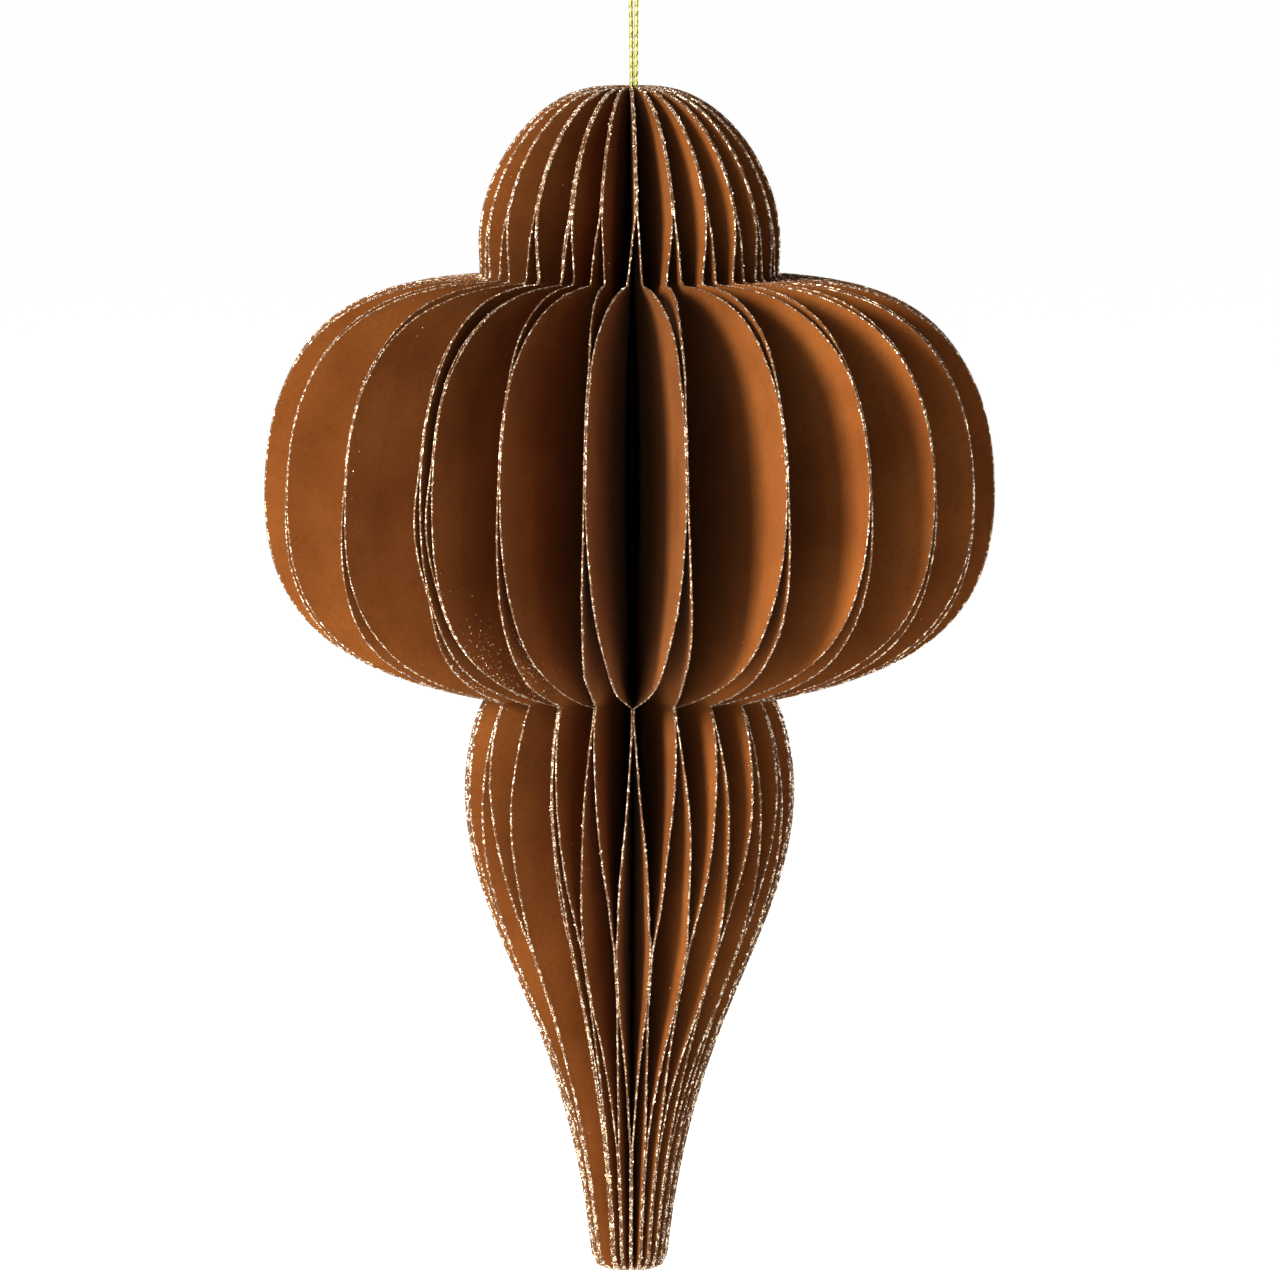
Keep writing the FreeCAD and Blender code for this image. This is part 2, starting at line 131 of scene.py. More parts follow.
class ShaderTree:
    """The node tree of one material."""

    def __init__(self, name: str) -> None:
        """Start an empty material.

        Args:
            name: Name of the material.
        """
        self.material = bpy.data.materials.new(name)
        self.material.use_nodes = True
        self.nodes = self.material.node_tree.nodes
        self.links = self.material.node_tree.links
        self.nodes.clear()
        self.shader = self.node("ShaderNodeBsdfPrincipled")
        self.node("ShaderNodeOutputMaterial", Surface=self.out(self.shader, "BSDF"))

    def node(self, kind: str, settings: dict[str, Any] | None = None, **inputs: Any) -> bpy.types.Node:
        """Make a node.

        Args:
            kind: Type of the node.
            settings: Properties of the node, set before its sockets.
            inputs: Values or links by socket name, with _ for a space.

        Returns:
            The node.
        """
        made = self.nodes.new(kind)
        for name, value in (settings or {}).items():
            setattr(made, name, value)
        for name, value in inputs.items():
            self.feed(made.inputs[name.replace("_", " ")], value)
        return made

    def feed(self, socket: bpy.types.NodeSocket, value: Any) -> None:
        """Link a socket or set its value.

        Args:
            socket: The socket.
            value: What it takes.
        """
        if isinstance(value, Sock):
            self.links.new(value.socket, socket)
        else:
            socket.default_value = value

    def out(self, node: bpy.types.Node, name: str) -> Sock:
        """An output of a node, ready for expressions."""
        return Sock(self, node.outputs[name])

    def maths(self, operation: str, first: "Sock | float", second: "Sock | float") -> Sock:
        """Value from a Math node.

        Args:
            operation: Operation of the node.
            first: First value.
            second: Second value.

        Returns:
            The result.
        """
        made = self.node("ShaderNodeMath", {"operation": operation})
        self.feed(made.inputs[0], first)
        self.feed(made.inputs[1], second)
        return self.out(made, "Value")

    def place(self, scale: Sequence[float] = (1.0, 1.0, 1.0)) -> Sock:
        """Object coordinates.

        Args:
            scale: Stretch along each axis.

        Returns:
            The coordinates.
        """
        coordinates = self.node("ShaderNodeTexCoord")
        mapping = self.node("ShaderNodeMapping", Vector=self.out(coordinates, "Object"), Scale=scale)
        return self.out(mapping, "Vector")

    def noise(self, scale: float, detail: float = 3.0, roughness: float = 0.55,
              stretch: Sequence[float] = (1.0, 1.0, 1.0)) -> Sock:
        """Noise over the surface.

        Args:
            scale: Grains a metre.
            detail: Octaves.
            roughness: Weight of the finer octaves.
            stretch: Scale along each axis.

        Returns:
            The noise, about zero to one.
        """
        made = self.node("ShaderNodeTexNoise", Vector=self.place(stretch), Scale=scale,
                         Detail=detail, Roughness=roughness)
        return self.out(made, "Fac")

    def cells(self, scale: float) -> Sock:
        """A colour by chance for each small cell of the surface."""
        made = self.node("ShaderNodeTexVoronoi", Vector=self.place(), Scale=scale)
        return self.out(made, "Color")

    def mix(self, share: "Sock | float", first: "Sock | Colour", second: "Sock | Colour") -> Sock:
        """Colour between two colours.

        Args:
            share: Share of the second colour.
            first: First colour.
            second: Second colour.

        Returns:
            The mixed colour.
        """
        made = self.node("ShaderNodeMix", {"data_type": "RGBA"})
        self.feed(made.inputs["Factor"], share)
        for number, colour in zip(MIX_COLOURS, (first, second)):
            self.feed(made.inputs[number], colour if isinstance(colour, Sock) else (*colour, 1.0))
        return Sock(self, made.outputs[MIX_RESULT])

    def ramp(self, value: Sock, low: float, high: float) -> Sock:
        """Value stretched so that low becomes zero and high becomes one, and held there."""
        made = self.node("ShaderNodeMapRange", {"clamp": True}, Value=value, From_Min=low, From_Max=high)
        return self.out(made, "Result")

    def bump(self, height: Sock, strength: float, distance: float) -> None:
        """Feed the shader's normal from a height.

        Args:
            height: Height over the surface.
            strength: Strength of the bump.
            distance: Depth in metres.
        """
        made = self.node("ShaderNodeBump", Strength=strength, Distance=distance, Height=height)
        self.dress(Normal=self.out(made, "Normal"))

    def dress(self, **inputs: Any) -> None:
        """Set or link inputs of the shader, with _ for a space."""
        for name, value in inputs.items():
            self.feed(self.shader.inputs[name.replace("_", " ")], value)


@dataclass(frozen=True)
class CardFinish:
    """Dyed chestnut card with fine fibres."""

    name: str = "chestnut_card"
    dark: Colour = (0.165, 0.053, 0.0095)
    light: Colour = (0.260, 0.096, 0.0220)
    speck_dark: Colour = (0.100, 0.032, 0.0060)
    cloud_scale: float = 55.0
    cloud_range: Span = (0.30, 0.72)
    grain_scale: float = 2100.0
    grain_range: Span = (0.42, 0.78)
    grain_share: float = 0.35
    speck_scale: float = 1300.0
    speck_range: Span = (0.52, 0.80)
    speck_share: float = 0.45
    roughness: float = 0.76
    roughness_spread: float = 0.18
    grain_relief: float = 0.6
    speck_relief: float = 0.4

    def build(self) -> bpy.types.Material:
        """Make the material.

        Returns:
            The material.
        """
        tree = ShaderTree(self.name)
        cloud = tree.ramp(tree.noise(self.cloud_scale, detail=4.0), *self.cloud_range)
        grain = tree.noise(self.grain_scale, detail=4.0, roughness=0.7)
        speck = tree.noise(self.speck_scale, detail=3.0, roughness=0.6)
        fibres = tree.ramp(grain, *self.grain_range) * self.grain_share
        specks = tree.ramp(speck, *self.speck_range) * self.speck_share
        colour = tree.mix(cloud, self.dark, self.light)
        colour = tree.mix(fibres, colour, self.light)
        colour = tree.mix(specks, colour, self.speck_dark)
        tree.dress(Base_Color=colour, Roughness=self.roughness + grain * self.roughness_spread)
        tree.dress(Specular_IOR_Level=0.15, Sheen_Weight=0.05, Sheen_Roughness=0.5)
        tree.dress(Sheen_Tint=(0.9, 0.55, 0.3, 1.0))
        relief = grain * self.grain_relief + speck * self.speck_relief
        tree.bump(relief, strength=0.35, distance=0.00006)
        return tree.material


@dataclass(frozen=True)
class CrustFinish:
    """Glue band along a cut edge, full of fine glitter."""

    name: str = "glitter_crust"
    glue: Colour = (0.130, 0.052, 0.014)
    gold: Colour = (0.74, 0.58, 0.36)
    silver: Colour = (0.84, 0.79, 0.69)
    flake_scale: float = 4600.0
    flake_limit: float = 1.00
    silver_limit: float = 0.55
    patch_scale: float = 1150.0
    patch_range: Span = (0.44, 0.58)
    patch_share: float = 0.50
    metal: float = 0.55
    roughness: float = 0.62
    polish: float = 0.26

    def build(self) -> bpy.types.Material:
        """Make the material.

        Returns:
            The material.
        """
        tree = ShaderTree(self.name)
        split = tree.node("ShaderNodeSeparateColor", Color=tree.cells(self.flake_scale))
        kind, chance, height = (tree.out(split, name) for name in ("Red", "Green", "Blue"))
        patch = tree.ramp(tree.noise(self.patch_scale, detail=2.0), *self.patch_range)
        lit = (chance + patch * self.patch_share) > self.flake_limit
        tone = tree.mix(kind > self.silver_limit, self.gold, self.silver)
        tree.dress(Base_Color=tree.mix(lit, self.glue, tone), Metallic=lit * self.metal)
        tree.dress(Roughness=self.roughness - lit * self.polish, Specular_IOR_Level=0.5)
        tree.bump(height, strength=0.9, distance=0.00012)
        return tree.material


@dataclass(frozen=True)
class GrainFinish:
    """One colour of loose glitter grains."""

    name: str
    base: Colour
    shade: Colour
    roughness: float = 0.22
    roughness_spread: float = 0.16
    metal: float = 0.7
    tone_scale: float = 2400.0
    tone_range: Span = (0.35, 0.65)

    def build(self) -> bpy.types.Material:
        """Make the material.

        Returns:
            The material.
        """
        tree = ShaderTree(self.name)
        tone = tree.noise(self.tone_scale, detail=1.0)
        tree.dress(Base_Color=tree.mix(tree.ramp(tone, *self.tone_range), self.shade, self.base))
        tree.dress(Roughness=self.roughness + tone * self.roughness_spread, Metallic=self.metal)
        return tree.material


@dataclass(frozen=True)
class CordFinish:
    """Lurex yarn wound round a core."""

    name: str = "gold_yarn"
    bright: Colour = (0.62, 0.55, 0.19)
    deep: Colour = (0.30, 0.27, 0.07)
    foil_scale: float = 3400.0
    foil_squash: float = 0.35
    foil_range: Span = (0.38, 0.60)
    metal: float = 0.35
    metal_spread: float = 0.4
    metal_range: Span = (0.3, 0.7)
    roughness: float = 0.46
    polish: float = 0.2

    def build(self) -> bpy.types.Material:
        """Make the material.

        Returns:
            The material.
        """
        tree = ShaderTree(self.name)
        foil = tree.noise(self.foil_scale, detail=3.0, roughness=0.6, stretch=(1.0, 1.0, self.foil_squash))
        colour = tree.mix(tree.ramp(foil, *self.foil_range), self.deep, self.bright)
        metal = self.metal + tree.ramp(foil, *self.metal_range) * self.metal_spread
        tree.dress(Base_Color=colour, Metallic=metal, Roughness=self.roughness - foil * self.polish)
        tree.bump(foil, strength=0.6, distance=0.00010)
        return tree.material


@dataclass(frozen=True)
class BindingFinish:
    """Brown paper strip that the leaves are bound to."""

    name: str = "binding_paper"
    dark: Colour = (0.15, 0.060, 0.018)
    light: Colour = (0.24, 0.10, 0.032)
    grain_scale: float = 1300.0
    grain_range: Span = (0.3, 0.7)
    roughness: float = 0.78
    roughness_spread: float = 0.15

    def build(self) -> bpy.types.Material:
        """Make the material.

        Returns:
            The material.
        """
        tree = ShaderTree(self.name)
        grain = tree.noise(self.grain_scale, detail=4.0, roughness=0.65)
        tree.dress(Base_Color=tree.mix(tree.ramp(grain, *self.grain_range), self.dark, self.light))
        tree.dress(Roughness=self.roughness + grain * self.roughness_spread, Specular_IOR_Level=0.3)
        tree.bump(grain, strength=0.3, distance=0.00008)
        return tree.material


@dataclass(frozen=True)
class MagnetFinish:
    """Nickel plate with faint scuffs."""

    name: str = "nickel_plate"
    plate: Colour = (0.60, 0.59, 0.57)
    scuff: Colour = (0.46, 0.45, 0.44)
    scuff_scale: float = 900.0
    scuff_squash: float = 0.1
    scuff_range: Span = (0.5, 0.75)
    roughness: float = 0.22
    roughness_spread: float = 0.25

    def build(self) -> bpy.types.Material:
        """Make the material.

        Returns:
            The material.
        """
        tree = ShaderTree(self.name)
        stretch = (1.0, 1.0, self.scuff_squash)
        scuff = tree.noise(self.scuff_scale, detail=5.0, roughness=0.7, stretch=stretch)
        tree.dress(Base_Color=tree.mix(tree.ramp(scuff, *self.scuff_range), self.plate, self.scuff))
        tree.dress(Roughness=self.roughness + scuff * self.roughness_spread, Metallic=1.0)
        tree.bump(scuff, strength=0.1, distance=0.00004)
        return tree.material


@dataclass(frozen=True)
class FloorFinish:
    """Pale matt floor of the studio, which glows a little so that it stays close to white."""

    name: str = "pale_floor"
    base: Colour = (0.92, 0.92, 0.91)
    glow: float = 0.84

    def build(self) -> bpy.types.Material:
        """Make the material.

        Returns:
            The material.
        """
        tree = ShaderTree(self.name)
        tree.dress(Base_Color=(*self.base, 1.0), Roughness=0.9, Specular_IOR_Level=0.2)
        tree.dress(Emission_Color=(1.0, 1.0, 1.0, 1.0), Emission_Strength=self.glow)
        return tree.material


def bezier(start: Sequence[float], hold: Sequence[float], rest: Sequence[float],
           end: Sequence[float], count: int) -> Points:
    """Points of a cubic curve.

    Args:
        start: First point.
        hold: Handle of the first point.
        rest: Handle of the last point.
        end: Last point.
        count: Steps along the curve.

    Returns:
        Points from start to end, both included.
    """
    t = np.linspace(0.0, 1.0, count + 1)[:, None]
    poles = [np.array(pole, float) for pole in (start, hold, rest, end)]
    return ((1 - t) ** 3 * poles[0] + 3 * (1 - t) ** 2 * t * poles[1]
            + 3 * (1 - t) * t ** 2 * poles[2] + t ** 3 * poles[3])


@dataclass(frozen=True)
class Outline:
    """Half outline of a leaf, from the rounded tip up to the crown, with lengths along it.

    A hold says how far a stretch keeps the direction that it starts or ends with, as a share of
    its run or rise.
    """

    crown: float
    tip: float
    dome_height: float = 32.3
    bulb_length: float = 71.0
    crown_radius: float = 3.9
    dome_radius: float = 25.4
    neck_radius: float = 25.2
    neck_corner: float = 0.9
    bulb_radius: float = 61.8
    waist_radius: float = 24.5
    drop_radius: float = 27.8
    tip_radius: float = 6.45
    tip_corner: float = 3.0
    dome_belly: float = 26.0
    bulb_belly: float = 35.4
    drop_belly: float = 15.2
    dome_hold: tuple = (0.57, 0.45)
    bulb_top_hold: tuple = (0.67, 0.65)
    bulb_foot_hold: tuple = (0.68, 0.58, 0.115)
    drop_top_hold: tuple = (0.74, 0.26, 0.23)
    drop_foot_hold: tuple = (0.30, 0.20, 0.53)
    fine: int = 240
    fewest: int = 2

    @property
    def neck(self) -> float:
        """Height of the notch under the dome."""
        return self.crown - self.dome_height

    @property
    def waist(self) -> float:
        """Height of the notch under the bulb."""
        return self.neck - self.bulb_length

    def arc(self, centre: Points, radius: float, first: float, last: float) -> Points:
        """Points of a rounded corner, with angles in degrees."""
        turn = np.radians(np.linspace(first, last, self.fine + 1))
        return centre + radius * np.stack([np.cos(turn), np.sin(turn)], axis=1)

    def stretches(self) -> list[Points]:
        """The outline's smooth stretches.

        Returns:
            Points (radius, height) of each stretch, from the tip up.
        """
        neck = np.array([self.neck_radius, self.neck])
        waist = np.array([self.waist_radius, self.waist])
        crown = np.array([self.crown_radius, self.crown])
        dome = np.array([self.dome_radius, self.crown - self.dome_belly])
        bulb = np.array([self.bulb_radius, self.waist + self.bulb_belly])
        drop = np.array([self.drop_radius, self.waist - self.drop_belly])
        tip = np.array([self.tip_radius, self.tip + self.tip_corner])
        along, up = np.array([1.0, 0.0]), np.array([0.0, 1.0])
        neck_foot, neck_head = neck + along * self.neck_corner, neck + up * self.neck_corner
        drop_spread, drop_rise = drop - tip
        waist_spread, waist_rise = abs(drop - waist)
        foot_spread, foot_rise = bulb - waist
        dome_hold, bulb_top, bulb_foot = self.dome_hold, self.bulb_top_hold, self.bulb_foot_hold
        drop_top, drop_foot = self.drop_top_hold, self.drop_foot_hold
        return [
            self.arc(tip - along * self.tip_corner, self.tip_corner, -90.0, 0.0),
            bezier(tip, tip + along * drop_foot[1] * drop_spread + up * drop_foot[2] * drop_rise,
                   drop - up * drop_foot[0] * drop_rise, drop, self.fine),
            bezier(drop, drop + up * drop_top[2] * waist_rise,
                   waist + along * drop_top[0] * waist_spread - up * drop_top[1] * waist_rise,
                   waist, self.fine),
            bezier(waist, waist + (along * bulb_foot[1] + up * bulb_foot[2]) * foot_spread,
                   bulb - up * bulb_foot[0] * foot_rise, bulb, self.fine),
            bezier(bulb, bulb + up * bulb_top[1] * (neck - bulb)[1],
                   neck_foot + along * bulb_top[0] * (bulb - neck_foot)[0], neck_foot, self.fine),
            self.arc(neck_foot + neck_head - neck, self.neck_corner, 270.0, 180.0),
            bezier(neck_head, neck_head * 2 / 3 + dome / 3, neck_head / 3 + dome * 2 / 3, dome, self.fine),
            bezier(dome, dome + up * dome_hold[1] * (crown - dome)[1],
                   crown + along * dome_hold[0] * (dome - crown)[0], crown, self.fine),
        ]

    @cached_property
    def line(self) -> Points:
        """Rows close together along the outline.

        Returns:
            Radius, height and length from the tip of each row.
        """
        rows = np.concatenate([stretch if not number else stretch[1:]
                               for number, stretch in enumerate(self.stretches())])
        steps = np.hypot(*np.diff(rows, axis=0).T)
        return np.column_stack([rows, np.concatenate([[0.0], np.cumsum(steps)])])

    @cached_property
    def way_in(self) -> Points:
        """Direction inwards from each row of the line.

        Returns:
            The directions, as (radius, height).
        """
        along = np.gradient(self.line[:, :2], self.line[:, 2], axis=0)
        along /= np.linalg.norm(along, axis=1)[:, None]
        return np.stack([-along[:, 1], along[:, 0]], axis=1)

    def at(self, length: Points) -> tuple[Points, Points]:
        """Radius and height at lengths along the outline."""
        return tuple(np.interp(length, self.line[:, 2], self.line[:, axis]) for axis in (0, 1))

    def inwards(self, length: Points) -> Points:
        """Direction inwards at lengths along the outline."""
        return np.stack([np.interp(length, self.line[:, 2], self.way_in[:, axis]) for axis in (0, 1)],
                        axis=-1)

    def length_at(self, height: float) -> float:
        """Length along the outline up to a height."""
        return float(np.interp(height, self.line[:, 1], self.line[:, 2]))

    def root_height(self, length: Points) -> Points:
        """Height on the spine of the fold line that runs to a place on the edge."""
        notches = [self.tip, self.waist, self.neck, self.crown]
        return np.interp(length, [self.length_at(height) for height in notches], notches)

    def lengths(self, step: float) -> Points:
        """Lengths of places along the outline, with every corner among them.

        Args:
            step: About how far the places are apart.

        Returns:
            The lengths, from the tip up.
        """
        ends = [0.0]
        for stretch in self.stretches():
            ends.append(ends[-1] + float(np.hypot(*np.diff(stretch, axis=0).T).sum()))
        counts = [max(self.fewest, round(run / step)) for run in np.diff(ends)]
        rows = [np.linspace(foot, head, count, endpoint=False)
                for foot, head, count in zip(ends[:-1], ends[1:], counts)]
        return np.concatenate([*rows, [ends[-1]]])


@dataclass(frozen=True)
class Joints:
    """Angles at which neighbouring leaves are glued, ring by ring from the tip up.

    Each ring lists the joints right of the closure and those left of it; the ones round the back
    are spread evenly between. In the drop and the bulb the first and the last entry are a cover.
    """

    pairs: int = 24
    tip: tuple = ((-24.5, -12.0, 2.0, 17.4, 31.6, 46.2, 60.0, 74.0), (-83.0, -70.0, -57.0))
    drop: tuple = ((-27.0, -21.7, -6.4, 10.1, 27.4, 44.0, 60.0, 75.0), (-86.0, -71.0, -51.0))
    waist: tuple = ((-28.0, -13.6, 1.4, 17.9, 33.8, 50.2, 65.0, 80.0), (-96.0, -79.0, -60.3))
    bulb: tuple = ((-32.3, -20.6, -6.9, 9.0, 25.3, 40.7, 56.0, 69.3), (-68.5, -50.3, -34.5))
    dome: tuple = ((-23.0, -11.1, 2.8, 17.4, 31.8, 46.0, 58.6, 71.6), (-70.0, -55.5, -39.5))
    left_flap_waist: float = -44.3

    def ring(self, lists: tuple, count: int) -> list[float]:
        """All joints of a ring.

        Args:
            lists: Angles right of the closure, and those left of it.
            count: How many joints there are in all.

        Returns:
            Angles from the right cover round the back to the left cover.
        """
        right, left = lists
        hidden = count - len(right) - len(left)
        step = (left[0] + FULL_TURN - right[-1]) / (hidden + 1)
        back = [right[-1] + step * (number + 1) for number in range(hidden)]
        return [*right, *back, *[angle + FULL_TURN for angle in left]]

    def rings(self) -> list[list[float]]:
        """The five rings.

        Returns:
            Angles of each ring, from the tip up.
        """
        sizes = (self.pairs, self.pairs + 1, self.pairs, self.pairs + 1, self.pairs)
        lists = (self.tip, self.drop, self.waist, self.bulb, self.dome)
        return [self.ring(ring, size) for ring, size in zip(lists, sizes)]


@dataclass(frozen=True)
class Gluing:
    """Where the leaves are glued along their outline, and how they swing in between.

    Each swing says how softly it sets out and what share of it comes close to the next joint.
    """

    outline: Outline
    thickness: float = 0.25
    film: float = 0.03
    root_play: float = 0.02
    plies: int = 50
    closure: float = -33.4
    tip_glue: float = 20.0
    drop_foot: float = 52.0
    drop_top: float = 41.0
    waist_glue: float = 2.6
    bulb_foot: float = 39.0
    bulb_top: float = 50.0
    dome_glue: float = 20.5
    swings: tuple = ((1.0, 0.0), (0.8, 0.0), (1.45, 0.4), (2.0, 0.0))
    pinch_power: int = 8
    magnet_height: float = 32.0
    pocket_reach: float = 12.0
    pocket_swell: float = 1.0

    @property
    def pitch(self) -> float:
        """Middle of one card to the middle of the next in a joint."""
        return self.thickness + self.film

    @property
    def seat(self) -> float:
        """Radius at which the leaves are bound to the spine."""
        return self.plies * (self.pitch + self.root_play) / (2 * math.pi)

    def zones(self, cover: bool) -> list[tuple[float, float]]:
        """Foot and head of each glued stretch, from the tip up.

        Args:
            cover: Whether the card is a cover, which lies flat over its magnet.

        Returns:
            Lengths along the outline of the ends of each stretch.
        """
        waist, tip, crown = self.outline.waist, self.outline.tip, self.outline.crown
        bulb_foot = self.magnet_height - self.pocket_reach if cover else self.bulb_foot
        heights = [
            (tip, tip + self.tip_glue),
            (waist - self.drop_foot, waist - self.drop_top),
            (waist - self.waist_glue, waist),
            (waist + bulb_foot, waist + self.bulb_top),
            (crown - self.dome_glue, crown),
        ]
        return [(self.outline.length_at(foot), self.outline.length_at(head)) for foot, head in heights]

    def blend(self, zones: list[tuple[float, float]], values: Sequence[float], length: Points) -> Points:
        """Value at each place on the edge, blended between the values of the zones.

        Args:
            zones: Glued stretches, from the tip up.
            values: One value for each zone.
            length: Lengths along the outline to work it out for.

        Returns:
            The blended values.
        """
        result = np.full_like(length, values[0])
        for number, (softness, pinch) in enumerate(self.swings):
            foot, head = zones[number][1], zones[number + 1][0]
            rise = np.clip((length - foot) / (head - foot), 0.0, 1.0)
            away = rise if number % 2 else 1 - rise
            swing = (1 - pinch) * away ** softness + pinch * away ** self.pinch_power
            share = swing if number % 2 else 1 - swing
            blended = values[number] + (values[number + 1] - values[number]) * share
            result = np.where(length > foot, blended, result)
        return result

    def pocket(self, height: Points) -> Points:
        """Share of the magnet pocket's swell at each height."""
        away = (height - self.outline.waist - self.magnet_height) / self.pocket_reach
        return np.clip(1 - away ** 2, 0.0, None) ** 2


def around(radius: Points, angle: Points, side: Points, height: Points) -> Points:
    """Points at a radius and an angle from the front, moved sideways.

    Args:
        radius: Distance from the axis.
        angle: Angle from the front.
        side: Distance moved sideways, the way that angles grow.
        height: Height of the point.

    Returns:
        The points.
    """
    turn = np.radians(angle)
    return np.stack([
        radius * np.sin(turn) + side * np.cos(turn),
        -radius * np.cos(turn) + side * np.sin(turn),
        height * np.ones_like(turn)], axis=-1)


def run_of(points: Points) -> Points:
    """Length along a line of points, at each of them."""
    return np.concatenate([[0.0], np.cumsum(np.linalg.norm(np.diff(points, axis=0), axis=1))])


def in_scene(name: str, data: bpy.types.ID) -> bpy.types.Object:
    """Put a mesh, curve, light or camera in the scene.

    Args:
        name: Name of the object.
        data: What it shows.

    Returns:
        The object.
    """
    item = bpy.data.objects.new(name, data)
    bpy.context.scene.collection.objects.link(item)
    return item


def tube(name: str, rings: Points, slots: Points, end_slot: int,
         materials: Sequence[bpy.types.Material]) -> bpy.types.Object:
    """A smooth piece through rings of points, closed at both ends.

    Args:
        name: Name of the piece.
        rings: Points in metres, ring by ring.
        slots: Number of the material of each side face, ring by ring.
        end_slot: Number of the material of both ends.
        materials: Materials of the piece.

    Returns:
        The piece.
    """
    count, wide = rings.shape[:2]
    index = np.arange(count * wide).reshape(count, wide)
    turned = np.roll(index, -1, axis=1)
    sides = np.stack([index[:-1], turned[:-1], turned[1:], index[1:]], axis=-1).reshape(-1, 4)
    ends = [index[0][::-1].tolist(), index[-1].tolist()]
    mesh = bpy.data.meshes.new(name)
    mesh.from_pydata(rings.reshape(-1, 3).tolist(), [], sides.tolist() + ends)
    for material in materials:
        mesh.materials.append(material)
    numbers = np.append(slots.reshape(-1), [end_slot, end_slot]).astype(np.int32)
    mesh.polygons.foreach_set("material_index", numbers)
    mesh.polygons.foreach_set("use_smooth", np.ones(len(numbers), dtype=bool))
    mesh.update()
    return in_scene(name, mesh)


@dataclass
class Leaf:
    """One sheet of card: where it sits on the spine, how it swings and its cut edge."""

    name: str
    place: int
    angles: list[float]
    sides: list[float]
    gluing: Gluing
    cover: bool = False
    swell: float = 0.0
    outline_step: float = 2.0
    columns: int = 5
    crust_width: float = 0.17
    crust_middle: float = 0.45
    crust_swell: float = 0.030
    crust_stand: float = 0.04
    crust_extra: float = 0.9
    wave: float = 0.12
    wave_fade: float = 9.0
    long_wave: float = 6.3
    short_wave: float = 3.7
    short_share: float = 0.6
    phase_step: float = 2.4
    phase_skew: float = 1.7
    least_reach: float = 0.1
    least_slant: float = 0.25
    least_depth: float = 0.4
    least_share: float = 0.05

    def surface(self, length: Points, share: Points, across: Points) -> Points:
        """Points of the card.

        Args:
            length: Where the fold line of each point meets the cut edge.
            share: Place on that fold line, zero at the spine and one at the edge.
            across: Distance from the middle of the card.

        Returns:
            Points in millimetres.
        """
        gluing = self.gluing
        zones = gluing.zones(self.cover)
        radius, height = gluing.outline.at(length)
        angle = gluing.blend(zones, self.angles, length)
        side = gluing.blend(zones, self.sides, length) + self.swell * gluing.pocket(height)
        root_angle = gluing.closure + (self.place + 0.5) * FULL_TURN / gluing.plies
        root = around(np.full_like(length, gluing.seat), np.full_like(length, root_angle), across,
                      gluing.outline.root_height(length))
        edge = around(radius, angle, side + across + self.ripple(length, share), height)
        return root + (edge - root) * share[..., None]

    def ripple(self, length: Points, share: Points) -> Points:
        """Slight waves of the card where it isn't glued.

        Args:
            length: Where the fold line of each point meets the cut edge.
            share: Place on that fold line.

        Returns:
            Distance of each point from the plain sheet.
        """
        free = np.ones_like(length)
        for foot, head in self.gluing.zones(self.cover):
            free *= np.clip(np.maximum(foot - length, length - head) / self.wave_fade, 0.0, 1.0)
        phase = self.place * self.phase_step
        waves = np.sin(length / self.long_wave + phase)
        waves = waves + self.short_share * np.sin(length / self.short_wave - self.phase_skew * phase)
        return self.wave * free * waves * np.clip(share, 0.0, 1.0) ** 2

    def inset(self, length: Points, depth: Points) -> Points:
        """Share of the fold line at a depth in from the cut edge.

        Args:
            length: Where the fold line meets the cut edge.
            depth: Depth, square to the cut edge.

        Returns:
            The share for each length.
        """
        outline = self.gluing.outline
        radius, height = outline.at(length)
        inwards = outline.inwards(length)
        run = np.stack([self.gluing.seat - radius, outline.root_height(length) - height], axis=-1)
        reach = np.linalg.norm(run, axis=-1)
        slant = (run * inwards).sum(axis=-1) / np.maximum(reach, self.least_reach)
        square = reach * np.clip(slant, self.least_slant, 1.0)
        return np.maximum(1 - depth / np.maximum(square, self.least_depth), self.least_share)

    def build(self, card: bpy.types.Material, crust: bpy.types.Material) -> bpy.types.Object:
        """Make the leaf's mesh.

        Args:
            card: Material of the faces.
            crust: Material of the glittered edge.

        Returns:
            The leaf.
        """
        outline = self.gluing.outline
        length = outline.lengths(self.outline_step)
        half = self.gluing.thickness / 2
        bulb = (length > outline.length_at(outline.waist)) & (length < outline.length_at(outline.neck))
        width = self.crust_width * np.where(bulb, 1.0, 1.0 + self.crust_extra)
        inner = self.inset(length, width)
        front = [(inner * share, half) for share in np.linspace(0.0, 1.0, self.columns + 1)]
        front.append((self.inset(length, width * self.crust_middle), half + self.crust_swell))
        back = [(share, -across) for share, across in reversed(front)]
        edge = (self.inset(length, -self.crust_stand), 0.0)
        rows = [self.surface(length, share, np.full_like(length, across))
                for share, across in [*front, edge, *back]]
        grid = np.stack(rows, axis=1)
        grid[..., 2] = np.clip(grid[..., 2], outline.tip, outline.crown)
        crusted = np.zeros((len(length) - 1, len(rows)), dtype=int)
        crusted[:, self.columns:self.columns + CRUST_FACES] = 1
        return tube(self.name + "_card", grid * MM, crusted, 1, (card, crust))


